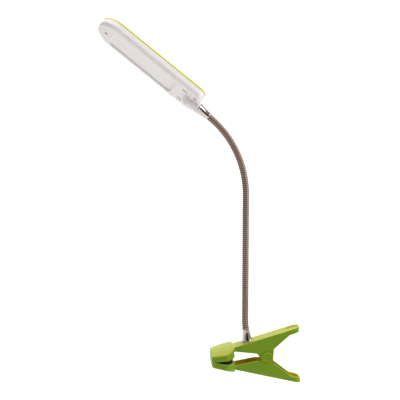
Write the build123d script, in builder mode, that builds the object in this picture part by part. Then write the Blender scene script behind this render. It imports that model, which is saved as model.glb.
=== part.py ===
from build123d import *
import os
from math import acos, atan2, cos, degrees, hypot, radians, sin, tan

# Clip-on reading lamp. A sprung plastic clip carries a posable metal gooseneck, and the gooseneck
# carries a slim battery LED head. Millimetres. The origin is the centre of the closed jaw pads, +Z is up,
# +X runs from the jaws to the handles, and Y is the width of the clip. The jaws close on the plane Z = 0.

# ---------------------------------------------------------------- driving dimensions

# Clip arms. Places on an arm are measured from the hinge pin.
grip_to_pivot = 57.0  # centre of the pads to the hinge pin
arm_width = 20.0
arm_wall = 1.8  # side walls of the moulded channel
web_thickness = 2.0  # outer face of the channel
arm_slope = 14.8  # outer face to the closing plane, degrees
arm_height = 24.0  # outer face above the pin
handle_reach = 40.5  # pin to the end of a handle
handle_wall_depth = 6.0  # side wall of a handle, from the outer face
handle_corner = 7.5  # plan radius of a handle's end
knuckle_x = 28.0  # where the deep wall becomes the handle's
heel_x = 8.4  # where the ear becomes the deep wall
heel_z = 9.0
throat_back_x = -12.0  # end of the throat nearest the pin
throat_back_z = 4.6
throat_front_z = 8.8
ear_radius = 7.6
ear_gap = 0.3  # between the inner and the outer ears
ear_swing_gap = 0.5  # round the outer ear, in the lower arm's walls
thumb_rest_length = 15.0
thumb_rest_width = 12.0
thumb_rest_depth = 0.8
thumb_rest_inset = 9.5  # centre of the rest from the handle's end

# Jaws
jaw_front_x = -67.3
jaw_back_x = -40.0
jaw_side_x = -48.5  # where the side turns in to the back
jaw_front_width = 43.0
jaw_width = 55.0
jaw_back_width = 36.0
jaw_front_corner = 5.0
jaw_side_corner = 6.0
jaw_rise = 2.0  # crown of the jaw's outer face above the arm's
jaw_crown_radius = 120.0  # curve of the jaw's outer face, side to side
jaw_edge = 1.0  # bevel round the outer face
jaw_wall = 1.8
lip_gap = 0.3  # between the closed lips
lip_angle = 7.0  # each lip opens backwards by this, degrees
pad_thickness = 3.2
pad_recess = 0.4  # pad face behind the lip
pad_side_gap = 0.15
pad_grooves = 6
pad_groove_width = 1.6

# Hinge
pin_radius = 2.0
pin_fit = 0.05
cap_radius = 6.2
cap_thickness = 1.6
cap_edge = 0.45
cap_socket_depth = 1.0
spring_wire = 1.6
spring_turns = 5
spring_inner_radius = 2.6
spring_leg_reach = 25.0
hidden_sides = 8  # flats round small round parts that stay out of sight

# Gooseneck
neck_radius = 4.0
neck_groove = 0.55  # depth between two ribs
neck_links = 8
ribs_per_link = 5
neck_sides = 12  # flats round a rib
rib_overlap = 0.15  # each rib runs this far into the next
neck_bend = 20.0  # each way at a joint, degrees
neck_bend_spare = 0.6  # added to each end's half of the bend
neck_end_gap = 0.15  # from the bend's axis to the ridge of a link's end
neck_foot_x = -22.5  # foot of the ferrule on the arm, from the pin
neck_foot_tilt = 5.0  # lean of the foot towards the jaws, degrees
neck_upright_lean = -2.0  # lean of the straight stretch, towards the handles where negative
foot_bend_radius = 100.0
neck_upright = 149.5  # straight stretch
top_bend_radius = 119.0
head_elevation = 40.9  # long axis of the head above level, degrees

# Ferrules and the fixings inside them
ferrule_length = 16.0
ferrule_base_radius = 6.6
ferrule_waist_radius = 5.3
ferrule_waist_height = 8.0
ferrule_mouth_radius = 4.7
ferrule_sides = 32  # flats round a ferrule
ferrule_sunk = 2.4  # drawn below the arm's face, then cut to it
ferrule_fit = 0.05
flange_thickness = 2.0
anchor_radius = 2.9
anchor_fit = 0.15
anchor_seat_depth = 0.6  # spot face under the foot
anchor_boss_radius = 7.0
anchor_boss_depth = 4.0
washer_radius = 6.0
washer_thickness = 0.8
anchor_nut_flats = 10.0
anchor_nut_height = 3.5
anchor_tail = 0.7  # thread past the nut
stud_radius = 2.0
stud_fit = 0.1
head_nut_flats = 7.0
head_nut_height = 3.0
stud_tail = 1.5

# Head. Places on the head are measured from its neck end, along it, across it and up from its underside.
head_twist = 28.0  # turn of the head about its long axis, degrees
head_length = 146.5
head_width = 39.0
head_nose = 12.5  # length of the nose's taper, before its corners are rounded
nose_tip_width = 16.0
nose_tip_radius = 12.0
head_shoulder_radius = 26.0
head_corner = 9.0  # plan radius of the neck-end corners
housing_height = 9.6
housing_wall = 1.6
housing_floor = 1.5
housing_edge = 1.8  # bevel round the underside
cover_height = 3.0
cover_wall = 1.3
cover_edge = 1.3  # bevel round the top
tongue_height = 1.0
tongue_width = 1.0
tongue_fit = 0.1
window_start = 36.0
window_length = 90.0
window_width = 28.0
window_corner = 5.0
collar_radius = 6.5
collar_length = 1.9
boss_half_width = 5.0
boss_height = 6.8
boss_length = 19.4
boss_wall = 1.3
screw_x = 8.0
screw_y = 11.0
tip_screw_inset = 12.0
post_radius = 2.7
post_split = 5.4  # height where a housing post meets the cover's post
screw_radius = 0.9
screw_head_radius = 1.9
screw_head_height = 1.3
screw_head_seat = 2.5
screw_bite = 3.4  # length in the cover's post
screw_fit = 0.06
slot_x = 22.5
slot_y = 10.5
slot_length = 7.0
slot_width = 2.4

# Light source
diffuser_overlap = 2.0
diffuser_thickness = 1.2
tray_height = 3.4
tray_mouth_width = 20.0  # opening at the LED board
board_thickness = 1.0
led_board_length = 88.0
led_board_width = 22.0
led_columns = 12
led_rows = 2
led_pitch = 7.0
led_row_gap = 9.0
led_length = 3.5
led_width = 2.8
led_height = 0.7

# Power and control
battery_length = 52.0
battery_width = 28.0
battery_thickness = 2.6
battery_start = 62.0
control_start = 11.5
control_length = 22.0
control_width = 31.0
control_height = 5.0
standoff_side = 3.0
standoff_inset = 3.0
switch_side = 6.0
switch_height = 2.6
actuator_radius = 1.6
actuator_height = 0.4
button_x = 22.0
button_radius = 4.5
button_fit = 0.15
button_flange_radius = 5.6
button_flange_thickness = 0.5
button_proud = 0.6
button_stem_radius = 1.5
button_travel = 0.6
button_slack = 0.1
socket_x = 22.0
socket_width = 7.6
socket_height = 2.5
socket_depth = 5.6
socket_fit = 0.2
socket_inset = 0.2
socket_shell = 0.35
lead_width = 2.4
lead_thickness = 1.0
led_lead_y = 7.0
battery_lead_y = 2.0
lead_landing = 5.0  # length of a lead's end lying on a board

# ---------------------------------------------------------------- frames

side = Plane(origin=(grip_to_pivot, 0, 0), x_dir=(1, 0, 0), z_dir=(0, -1, 0))
plan = Plane(origin=(grip_to_pivot, 0, 0), x_dir=(1, 0, 0), z_dir=(0, 0, 1))
slope = tan(radians(arm_slope))
tall = 3 * arm_height  # reaches past an arm in any cut


def outer_z(x):
    """Height of the upper arm's outer face above the pin, at x from the pin."""
    return arm_height + slope * x


def lip_z(x):
    """Height of the upper jaw's lip above the closing plane, at x from the pin."""
    return lip_gap / 2 + (x - jaw_front_x) * tan(radians(lip_angle))


def tangent_point(x, z, radius, turn):
    """Where a line from (x, z) touches a circle about the pin, on the side that turn gives."""
    angle = atan2(z, x) + turn * acos(radius / hypot(x, z))
    return radius * cos(angle), radius * sin(angle)


def save(builder, name):
    builder.part.label = name
    export_step(builder.part, f"parts/{name}.step")


os.makedirs("parts", exist_ok=True)

# ---------------------------------------------------------------- clip arms


def jaw_outline(inset):
    """Plan of a jaw as a closed line with rounded corners, drawn in by inset."""
    front, back, turn = jaw_front_x + inset, jaw_back_x - inset, jaw_side_x
    with BuildLine() as line:
        Polyline(
            (front, -jaw_front_width / 2 + inset),
            (turn, -jaw_width / 2 + inset),
            (back, -jaw_back_width / 2 + inset),
            (back, jaw_back_width / 2 - inset),
            (turn, jaw_width / 2 - inset),
            (front, jaw_front_width / 2 - inset),
            close=True,
        )
    make_face(line.edges())
    corners = vertices().sort_by(Axis.X)
    fillet(corners[:2], jaw_front_corner - inset)
    fillet(vertices().group_by(Axis.Y)[0] + vertices().group_by(Axis.Y)[-1], jaw_side_corner - inset)


def handle_outline(inset):
    """Plan of an arm behind the jaw, with its rounded handle end, drawn in by inset."""
    start, end = (jaw_back_x + jaw_side_x) / 2 + inset, handle_reach - inset
    half = arm_width / 2 - inset
    with BuildLine() as line:
        Polyline((end, -half), (start, -half), (start, half), (end, half), close=True)
    make_face(line.edges())
    fillet(vertices().group_by(Axis.X)[-1], handle_corner - inset)


def ear_outline(points):
    """Round ear about the pin, running out to two points."""
    (x1, z1), (x2, z2) = points
    first = tangent_point(x1, z1, ear_radius, 1)
    last = tangent_point(x2, z2, ear_radius, -1)
    Circle(ear_radius)
    with BuildLine() as line:
        Polyline((x1, z1), first, (0, 0), last, (x2, z2), close=True)
    make_face(line.edges())


with BuildPart() as channel:
    with BuildSketch(side):
        with BuildLine():
            start, end = jaw_back_x, handle_reach + web_thickness
            Polyline(
                (start, outer_z(start) - web_thickness),
                (end, outer_z(end) - web_thickness),
                (end, -tall),
                (start, -tall),
                close=True,
            )
        make_face()
    extrude(amount=arm_width, both=True)
    with BuildSketch(plan):
        handle_outline(arm_wall)
    extrude(amount=tall, both=True, mode=Mode.INTERSECT)

with BuildPart() as jaw:
    with BuildSketch(side):
        with BuildLine():
            Polyline(
                (jaw_front_x, lip_z(jaw_front_x)),
                (jaw_front_x, outer_z(jaw_front_x) + jaw_rise),
                (jaw_back_x, outer_z(jaw_back_x) + jaw_rise),
                (jaw_back_x, lip_z(jaw_back_x)),
                close=True,
            )
        make_face()
    extrude(amount=jaw_width, both=True)
    with BuildSketch(plan):
        jaw_outline(0)
    extrude(amount=tall, both=True, mode=Mode.INTERSECT)
    crown_axis = Plane(
        origin=(grip_to_pivot, 0, outer_z(0) + jaw_rise),
        x_dir=(0, 1, 0),
        z_dir=(cos(radians(arm_slope)), 0, sin(radians(arm_slope))),
    )
    with BuildSketch(crown_axis):
        with Locations((0, -jaw_crown_radius)):
            Circle(jaw_crown_radius)
    extrude(amount=2 * -jaw_front_x, both=True, mode=Mode.INTERSECT)
    top_face = faces().sort_by(Axis.Z)[-1]
    chamfer(top_face.edges(), jaw_edge)

with BuildPart() as pad_block:
    with BuildSketch(side):
        with BuildLine():
            front, back = jaw_front_x, jaw_back_x
            Polyline(
                (front, lip_z(front) + pad_recess),
                (back, lip_z(back) + pad_recess),
                (back, lip_z(back) + pad_recess + pad_thickness),
                (front, lip_z(front) + pad_recess + pad_thickness),
                close=True,
            )
        make_face()
    extrude(amount=jaw_width, both=True)

with BuildPart() as pocket:
    with BuildSketch(plan.offset(-tall)):
        jaw_outline(jaw_wall)
    extrude(amount=2 * tall)
    with BuildSketch(side):
        with BuildLine():
            Polyline(
                (jaw_front_x, -tall),
                (jaw_back_x, -tall),
                (jaw_back_x, lip_z(jaw_back_x) + pad_recess + pad_thickness),
                (jaw_front_x, lip_z(jaw_front_x) + pad_recess + pad_thickness),
                close=True,
            )
        make_face()
    extrude(amount=jaw_width, both=True, mode=Mode.INTERSECT)

with BuildPart() as arm_blank:
    with BuildSketch(side):
        with BuildLine():
            start = (jaw_back_x + jaw_side_x) / 2
            Polyline(
                (start, outer_z(start)),
                (handle_reach, outer_z(handle_reach)),
                (handle_reach, outer_z(handle_reach) - handle_wall_depth),
                (knuckle_x, outer_z(knuckle_x) - handle_wall_depth),
                (heel_x, heel_z),
                (throat_back_x, throat_back_z),
                (jaw_back_x, throat_front_z),
                (start, throat_front_z),
                close=True,
            )
        make_face()
    extrude(amount=arm_width / 2, both=True)
    with BuildSketch(plan):
        handle_outline(0)
    extrude(amount=tall, both=True, mode=Mode.INTERSECT)
    add(channel.part, mode=Mode.SUBTRACT)
    add(jaw.part)
    add(pocket.part, mode=Mode.SUBTRACT)

with BuildPart() as outer_ears:
    with BuildSketch(side):
        ear_outline([(throat_back_x, throat_back_z), (heel_x, heel_z)])
    extrude(amount=arm_width / 2, both=True)
    with BuildSketch(side):
        ear_outline([(throat_back_x, throat_back_z), (heel_x, heel_z)])
    extrude(amount=arm_width / 2 - arm_wall, both=True, mode=Mode.SUBTRACT)

# The ferrule stands on the upper arm's outer face, leaning towards the jaws
foot = Vector(grip_to_pivot + neck_foot_x, 0, outer_z(neck_foot_x))
foot_axis = Vector(-sin(radians(neck_foot_tilt)), 0, cos(radians(neck_foot_tilt)))
foot_plane = Plane(origin=foot, x_dir=(0, 1, 0), z_dir=foot_axis)

with BuildPart() as anchor_boss:
    with BuildSketch(foot_plane.offset(-anchor_boss_depth)):
        Circle(anchor_boss_radius)
    extrude(amount=anchor_boss_depth - web_thickness / 2)

with BuildPart() as upper_arm:
    add(arm_blank.part)
    add(outer_ears.part)
    add(anchor_boss.part)
    with BuildSketch(foot_plane.offset(-anchor_seat_depth)):
        Circle(neck_radius + ferrule_fit)
    extrude(amount=web_thickness, mode=Mode.SUBTRACT)
    with BuildSketch(foot_plane.offset(-2 * anchor_boss_depth)):
        Circle(anchor_radius + anchor_fit)
    extrude(amount=2 * anchor_boss_depth, mode=Mode.SUBTRACT)
    with BuildSketch(side):
        Circle(pin_radius + pin_fit)
    extrude(amount=arm_width, both=True, mode=Mode.SUBTRACT)
    rest_x = handle_reach - thumb_rest_inset
    rest_plane = Plane(
        origin=(grip_to_pivot + rest_x, 0, outer_z(rest_x)),
        x_dir=(cos(radians(arm_slope)), 0, sin(radians(arm_slope))),
        z_dir=(-sin(radians(arm_slope)), 0, cos(radians(arm_slope))),
    )
    with BuildSketch(rest_plane.offset(-thumb_rest_depth)):
        RectangleRounded(thumb_rest_length, thumb_rest_width, 0.49 * thumb_rest_width)
    extrude(amount=2 * thumb_rest_depth, mode=Mode.SUBTRACT)
save(upper_arm, "upper_clip_arm")

inner_ear_face = arm_width / 2 - arm_wall - ear_gap
with BuildPart() as inner_ears:
    ear_foot = [(-heel_x, outer_z(-heel_x) - web_thickness), (heel_x, outer_z(heel_x) - web_thickness)]
    with BuildSketch(side):
        ear_outline(ear_foot)
    extrude(amount=arm_width / 2 - arm_wall, both=True)
    with BuildSketch(side):
        ear_outline(ear_foot)
    extrude(amount=inner_ear_face - arm_wall, both=True, mode=Mode.SUBTRACT)

with BuildPart() as swing_clearance:
    with BuildSketch(side):
        Circle(ear_radius + ear_swing_gap)
    extrude(amount=arm_width, both=True)
    with BuildSketch(side):
        Circle(ear_radius + ear_swing_gap)
    extrude(amount=inner_ear_face, both=True, mode=Mode.SUBTRACT)

with BuildPart() as lower_arm_upturned:
    add(arm_blank.part)
    add(inner_ears.part)
    add(swing_clearance.part, mode=Mode.SUBTRACT)
    with BuildSketch(side):
        Circle(pin_radius + pin_fit)
    extrude(amount=arm_width, both=True, mode=Mode.SUBTRACT)

with BuildPart() as lower_arm:
    mirror(lower_arm_upturned.part, about=Plane.XY)
save(lower_arm, "lower_clip_arm")

# Ribbed rubber pads, pressed into the pockets
with BuildPart() as upper_pad:
    add(pad_block.part)
    with BuildSketch(plan.offset(-tall)):
        jaw_outline(jaw_wall + pad_side_gap)
    extrude(amount=2 * tall, mode=Mode.INTERSECT)
    groove_pitch = (jaw_back_x - jaw_front_x - 2 * jaw_wall) / (pad_grooves + 1)
    groove_half, groove_depth = pad_groove_width / 2, pad_groove_width / 2
    for number in range(1, pad_grooves + 1):
        x = jaw_front_x + jaw_wall + number * groove_pitch
        face_z = lip_z(x) + pad_recess
        with BuildSketch(side):
            with BuildLine():
                Polyline(
                    (x - groove_half, face_z - groove_half),
                    (x + groove_half, face_z - groove_half),
                    (x + groove_half, face_z),
                    (x, face_z + groove_depth),
                    (x - groove_half, face_z),
                    close=True,
                )
            make_face()
        extrude(amount=jaw_width, both=True, mode=Mode.SUBTRACT)
save(upper_pad, "upper_jaw_pad")

with BuildPart() as lower_pad:
    mirror(upper_pad.part, about=Plane.XY)
save(lower_pad, "lower_jaw_pad")

# ---------------------------------------------------------------- hinge

cap_face = arm_width / 2
with BuildPart() as hinge_pin:
    with BuildSketch(side):
        Circle(pin_radius)
    extrude(amount=cap_face + cap_socket_depth, both=True)
save(hinge_pin, "hinge_pin")

with BuildPart() as hinge_caps:
    for face_plane in (side.offset(cap_face), Plane(side.origin, side.x_dir, -side.z_dir).offset(cap_face)):
        with BuildSketch(face_plane):
            Circle(cap_radius)
        cap = extrude(amount=cap_thickness)
        chamfer(cap.edges().group_by(Axis.Y)[0 if face_plane.z_dir.Y < 0 else -1], cap_edge)
        with BuildSketch(face_plane):
            Circle(pin_radius + pin_fit)
        extrude(amount=cap_socket_depth, mode=Mode.SUBTRACT)
save(hinge_caps, "hinge_caps")

# The closed coil is drawn as the sleeve that its turns fill. Its two legs press the handles apart.
with BuildPart() as torsion_spring:
    coil_half = spring_turns * spring_wire / 2
    coil_root = spring_inner_radius + spring_wire / 2
    with BuildSketch(side):
        Circle(spring_inner_radius + spring_wire)
        Circle(spring_inner_radius, mode=Mode.SUBTRACT)
    extrude(amount=coil_half, both=True)
    leg_y = coil_half - spring_wire / 2
    leg_z = outer_z(spring_leg_reach) - web_thickness - spring_wire
    leg_start = Vector(grip_to_pivot, 0, coil_root)
    leg_end = Vector(grip_to_pivot + spring_leg_reach, 0, leg_z)
    for sign in (1, -1):
        start = Vector(leg_start.X, sign * leg_y, sign * leg_start.Z)
        end = Vector(leg_end.X, sign * leg_y, sign * leg_end.Z)
        with BuildSketch(Plane(origin=start, x_dir=(0, 1, 0), z_dir=end - start)):
            RegularPolygon(0.46 * spring_wire, hidden_sides)
        extrude(amount=(end - start).length)
save(torsion_spring, "torsion_spring")

# ---------------------------------------------------------------- gooseneck

# The neck's middle line, as stretches of a length and a turn towards the jaws
foot_turn = radians(neck_foot_tilt - neck_upright_lean)
top_turn = radians(90 - head_elevation - neck_upright_lean)
neck_stretches = [
    (ferrule_length, 0.0),
    (foot_bend_radius * foot_turn, -foot_turn),
    (neck_upright, 0.0),
    (top_bend_radius * top_turn, top_turn),
    (ferrule_length, 0.0),
]
neck_length = sum(length for length, turn in neck_stretches)


def heading(lean):
    """Direction that leans from the vertical towards the jaws by an angle."""
    return Vector(-sin(lean), 0, cos(lean))


def neck_station(length):
    """Plane across the neck at a length from its foot, facing along it."""
    point, lean = foot, radians(neck_foot_tilt)
    for stretch, turn in neck_stretches:
        step = min(length, stretch)
        if turn:
            radius, leant = stretch / turn, lean + turn * step / stretch
            point += Vector(cos(leant) - cos(lean), 0, sin(leant) - sin(lean)) * radius
            lean = leant
        else:
            point += heading(lean) * step
        length -= step
    return Plane(origin=point, x_dir=(0, 1, 0), z_dir=heading(lean))


# Each link is a stack of ribs, drawn as many-sided double tapers. Where two links meet, each ends in two
# flats that meet in a ridge on the bend's axis, so a bend never pinches them. The axes lie across and
# fore-and-aft in turn.
link_length = (neck_length - 2 * ferrule_length) / neck_links
rib_pitch = link_length / ribs_per_link

with BuildPart() as rib:
    with BuildSketch():
        RegularPolygon(neck_radius, neck_sides)
    extrude(amount=rib_pitch / 2 + rib_overlap, taper=degrees(atan2(neck_groove, rib_pitch / 2)))
    mirror(about=Plane.XY)

with BuildPart() as end_trim:
    end_fall = neck_end_gap + neck_radius * tan(radians(neck_bend / 2 + neck_bend_spare))
    with BuildSketch(Plane.XZ):
        Polygon(
            (0, -neck_end_gap),
            (neck_radius, -end_fall),
            (neck_radius, neck_radius),
            (-neck_radius, neck_radius),
            (-neck_radius, -end_fall),
            align=None,
        )
    extrude(amount=neck_radius, both=True)

for link in range(neck_links):
    with BuildPart() as neck_link:
        for number in range(ribs_per_link):
            crest = neck_station(ferrule_length + link * link_length + (number + 0.5) * rib_pitch)
            add(rib.part.moved(crest.location))
        for joint, sense in ((link, -1), (link + 1, 1)):
            station = neck_station(ferrule_length + joint * link_length)
            outward = station.z_dir * sense
            if joint in (0, neck_links):
                with BuildSketch(Plane(origin=station.origin, x_dir=station.x_dir, z_dir=outward)):
                    Circle(neck_radius)
                extrude(amount=ferrule_length - flange_thickness)
            else:
                ridge = Vector(0, 1, 0) if joint % 2 else station.y_dir
                trimmed = Plane(origin=station.origin, x_dir=ridge.cross(outward), z_dir=outward)
                add(end_trim.part.moved(trimmed.location), mode=Mode.SUBTRACT)
    save(neck_link, f"neck_link_{link + 1}")


def ferrule(foot_plane, depth):
    """Chromed bell round the neck's end: its rim starts depth below foot_plane, its mouth is up the neck."""
    with BuildPart() as bell:
        for start, end, start_radius, end_radius in (
            (-depth, ferrule_waist_height, ferrule_base_radius, ferrule_waist_radius),
            (ferrule_waist_height, ferrule_length, ferrule_waist_radius, ferrule_mouth_radius),
        ):
            with BuildSketch(Plane.XY.offset(start)):
                RegularPolygon(start_radius, ferrule_sides)
            extrude(amount=end - start, taper=degrees(atan2(start_radius - end_radius, end - start)))
        with BuildSketch(Plane.XY.offset(-depth)):
            RegularPolygon(neck_radius + ferrule_fit, ferrule_sides)
        extrude(amount=depth + ferrule_length, mode=Mode.SUBTRACT)
    return bell.part.moved(foot_plane.location)


with BuildPart() as lower_ferrule:
    add(ferrule(foot_plane, ferrule_sunk))
    arm_normal = Vector(-sin(radians(arm_slope)), 0, cos(radians(arm_slope)))
    arm_face = Plane(origin=foot, x_dir=(0, 1, 0), z_dir=arm_normal)
    split(bisect_by=arm_face, keep=Keep.TOP)
save(lower_ferrule, "lower_ferrule")

neck_end = neck_station(neck_length)
with BuildPart() as upper_ferrule:
    add(ferrule(Plane(origin=neck_end.origin, x_dir=(0, 1, 0), z_dir=-neck_end.z_dir), 0))
save(upper_ferrule, "upper_ferrule")

# Fixing at the foot: a flanged stud through the arm, a washer and a thin nut under it
seat = foot_plane.offset(-anchor_seat_depth)
under = foot_plane.offset(-anchor_boss_depth)
with BuildPart() as anchor_stud:
    with BuildSketch(seat):
        Circle(neck_radius)
    extrude(amount=flange_thickness + anchor_seat_depth)
    stud_end = anchor_boss_depth + washer_thickness + anchor_nut_height + anchor_tail
    with BuildSketch(foot_plane.offset(-stud_end)):
        RegularPolygon(anchor_radius, 2 * hidden_sides)
    extrude(amount=stud_end - anchor_seat_depth)
save(anchor_stud, "anchor_stud")

with BuildPart() as anchor_washer:
    with BuildSketch(under.offset(-washer_thickness)):
        RegularPolygon(washer_radius, ferrule_sides)
        RegularPolygon(anchor_radius + anchor_fit, 2 * hidden_sides, mode=Mode.SUBTRACT)
    extrude(amount=washer_thickness)
save(anchor_washer, "anchor_washer")

with BuildPart() as anchor_nut:
    with BuildSketch(under.offset(-washer_thickness - anchor_nut_height)):
        RegularPolygon(anchor_nut_flats / 2, 6, major_radius=False)
        RegularPolygon(anchor_radius + pin_fit, 2 * hidden_sides, mode=Mode.SUBTRACT)
    extrude(amount=anchor_nut_height)
save(anchor_nut, "anchor_nut")

# ---------------------------------------------------------------- head

along = neck_end.z_dir
level_top = Vector(sin(radians(head_elevation)), 0, cos(radians(head_elevation)))
top_normal = level_top * cos(radians(head_twist)) + Vector(0, 1, 0) * sin(radians(head_twist))
head = Plane(origin=neck_end.origin + along * collar_length, x_dir=along, z_dir=top_normal)
end_plane = Plane(origin=head.origin, x_dir=head.y_dir, z_dir=along)  # its x runs across, its y up
long_section = Plane(origin=head.origin, x_dir=along, z_dir=-head.y_dir)  # its y runs up
cover_top = housing_height + cover_height
ceiling = cover_top - cover_wall
inner_half = head_width / 2 - housing_wall
window_middle = window_start + window_length / 2
screw_places = [(screw_x, screw_y), (screw_x, -screw_y), (head_length - tip_screw_inset, 0)]


def head_outline(inset):
    """The head's plan, drawn in by inset: square neck end with round corners, and a tapered round nose."""
    taper = atan2((head_width - nose_tip_width) / 2, head_nose)
    half, shoulder = head_width / 2 - inset, head_length - head_nose - inset * tan(taper / 2)
    tip, tip_half = head_length - inset, nose_tip_width / 2 - inset * tan(radians(45) - taper / 2)
    with BuildSketch() as outline:
        with BuildLine():
            Polyline((tip, -tip_half), (shoulder, -half), (inset, -half), (inset, half), (shoulder, half),
                     (tip, tip_half), close=True)
        make_face()
        fillet(vertices().group_by(Axis.X)[0], head_corner - inset)
        fillet(vertices().group_by(Axis.X)[-1], nose_tip_radius - inset)
        shoulders = [corner for corner in vertices() if abs(corner.X - shoulder) < 0.001]
        fillet(shoulders, head_shoulder_radius - inset)
    return outline.sketch


def boss_section(half_width, height):
    """Half-round ridge under the head, in end_plane."""
    with Locations((0, half_width - height)):
        Circle(half_width)
    with Locations((0, (half_width - height + housing_floor) / 2)):
        Rectangle(2 * half_width, height - half_width + housing_floor)


with BuildPart() as boss_block:
    with BuildSketch(end_plane):
        boss_section(boss_half_width, boss_height)
    extrude(amount=boss_length)
    nose_start = boss_length - boss_height
    with BuildSketch(long_section):
        Polygon(
            (nose_start, -boss_height - 1),
            (nose_start, -boss_height),
            (boss_length, 0),
            (boss_length + 1, 0),
            (boss_length + 1, -boss_height - 1),
            align=None,
        )
    extrude(amount=head_width, both=True, mode=Mode.SUBTRACT)

with BuildPart() as boss_hollow:
    with BuildSketch(end_plane.offset(housing_wall)):
        boss_section(boss_half_width - boss_wall, boss_height - boss_wall)
    extrude(amount=boss_length - boss_height - housing_wall + boss_wall / 2)

with BuildPart() as head_housing:
    with BuildSketch(head):
        add(head_outline(0))
    extrude(amount=housing_height)
    chamfer(faces().sort_by(Axis(head.origin, head.z_dir))[0].edges(), housing_edge)
    # Fairing over the neck's fixing, and the round collar that the ferrule meets
    add(boss_block.part)
    with BuildSketch(end_plane.offset(-collar_length)):
        Circle(collar_radius)
    extrude(amount=collar_length + housing_wall)
    with BuildSketch(head.offset(housing_floor)):
        add(head_outline(housing_wall))
    extrude(amount=housing_height, mode=Mode.SUBTRACT)
    add(boss_hollow.part, mode=Mode.SUBTRACT)
    with BuildSketch(end_plane.offset(-collar_length)):
        Circle(stud_radius + stud_fit)
    extrude(amount=collar_length + 2 * housing_wall, mode=Mode.SUBTRACT)
    # Window, slots and the charging opening
    with BuildSketch(head.offset(-1)):
        with Locations((window_middle, 0)):
            RectangleRounded(window_length, window_width, window_corner)
        with Locations((slot_x, slot_y), (slot_x, -slot_y)):
            SlotOverall(slot_length, slot_width)
    extrude(amount=housing_floor + 2, mode=Mode.SUBTRACT)
    socket_top = control_height
    with BuildSketch(long_section.offset(inner_half - 1)):
        with Locations((socket_x, socket_top - socket_height / 2)):
            Rectangle(socket_width + 2 * socket_fit, socket_height + 2 * socket_fit)
    extrude(amount=housing_wall + 2, mode=Mode.SUBTRACT)
    # Screw posts with sunk seats, and standoffs for the control board
    with BuildSketch(head.offset(housing_floor)):
        with Locations(*screw_places):
            RegularPolygon(post_radius, hidden_sides)
    extrude(amount=post_split - housing_floor)
    with BuildSketch(head.offset(-1)):
        with Locations(*screw_places):
            Circle(screw_head_radius + 2 * screw_fit)
    extrude(amount=screw_head_seat + 1, mode=Mode.SUBTRACT)
    with BuildSketch(head.offset(-1)):
        with Locations(*screw_places):
            RegularPolygon(screw_radius + 2 * screw_fit, hidden_sides)
    extrude(amount=post_split + 1, mode=Mode.SUBTRACT)
    control_middle = control_start + control_length / 2
    with BuildSketch(head.offset(housing_floor)):
        with Locations((control_middle, 0)):
            with GridLocations(control_length - 2 * standoff_inset, control_width - 2 * standoff_inset, 2, 2):
                Rectangle(standoff_side, standoff_side)
    extrude(amount=control_height - housing_floor)
save(head_housing, "head_housing")

with BuildPart() as head_cover:
    with BuildSketch(head.offset(housing_height)):
        add(head_outline(0))
    extrude(amount=cover_height)
    chamfer(faces().sort_by(Axis(head.origin, head.z_dir))[-1].edges(), cover_edge)
    with BuildSketch(head.offset(housing_height)):
        add(head_outline(housing_wall))
    extrude(amount=cover_height - cover_wall, mode=Mode.SUBTRACT)
    with BuildSketch(head.offset(housing_height - tongue_height)):
        add(head_outline(housing_wall + tongue_fit))
        add(head_outline(housing_wall + tongue_fit + tongue_width), mode=Mode.SUBTRACT)
    extrude(amount=cover_height - cover_wall + tongue_height)
    with BuildSketch(head.offset(post_split)):
        with Locations(*screw_places):
            RegularPolygon(post_radius, hidden_sides)
    extrude(amount=ceiling - post_split)
    with BuildSketch(head.offset(post_split - 1)):
        with Locations(*screw_places):
            RegularPolygon(screw_radius + screw_fit, hidden_sides)
    extrude(amount=1 + screw_bite + 0.3, mode=Mode.SUBTRACT)
    with BuildSketch(head.offset(ceiling - 1)):
        with Locations((button_x, 0)):
            Circle(button_radius + button_fit)
    extrude(amount=cover_wall + 2, mode=Mode.SUBTRACT)
save(head_cover, "head_cover")

with BuildPart() as housing_screws:
    with BuildSketch(head.offset(screw_head_seat - screw_head_height)):
        with Locations(*screw_places):
            RegularPolygon(screw_head_radius, 2 * hidden_sides)
    extrude(amount=screw_head_height)
    with BuildSketch(head.offset(screw_head_seat)):
        with Locations(*screw_places):
            RegularPolygon(screw_radius, hidden_sides)
    extrude(amount=post_split + screw_bite - screw_head_seat)
save(housing_screws, "housing_screws")

# Stud and nut that hold the head on the neck
with BuildPart() as head_stud:
    with BuildSketch(end_plane.offset(-collar_length - flange_thickness)):
        Circle(neck_radius)
    extrude(amount=flange_thickness)
    with BuildSketch(end_plane.offset(-collar_length)):
        Circle(stud_radius)
    extrude(amount=collar_length + housing_wall + head_nut_height + stud_tail)
save(head_stud, "head_stud")

with BuildPart() as head_nut:
    with BuildSketch(end_plane.offset(housing_wall)):
        RegularPolygon(head_nut_flats / 2, 6, major_radius=False, rotation=30)
        Circle(stud_radius + pin_fit, mode=Mode.SUBTRACT)
    extrude(amount=head_nut_height)
save(head_nut, "head_nut")

# ---------------------------------------------------------------- light source

with BuildPart() as diffuser:
    with BuildSketch(head.offset(housing_floor)):
        with Locations((window_middle, 0)):
            Rectangle(window_length + 2 * diffuser_overlap, window_width + 2 * diffuser_overlap)
        chamfer(vertices(), window_corner)
    extrude(amount=diffuser_thickness)
save(diffuser, "diffuser")

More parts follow.
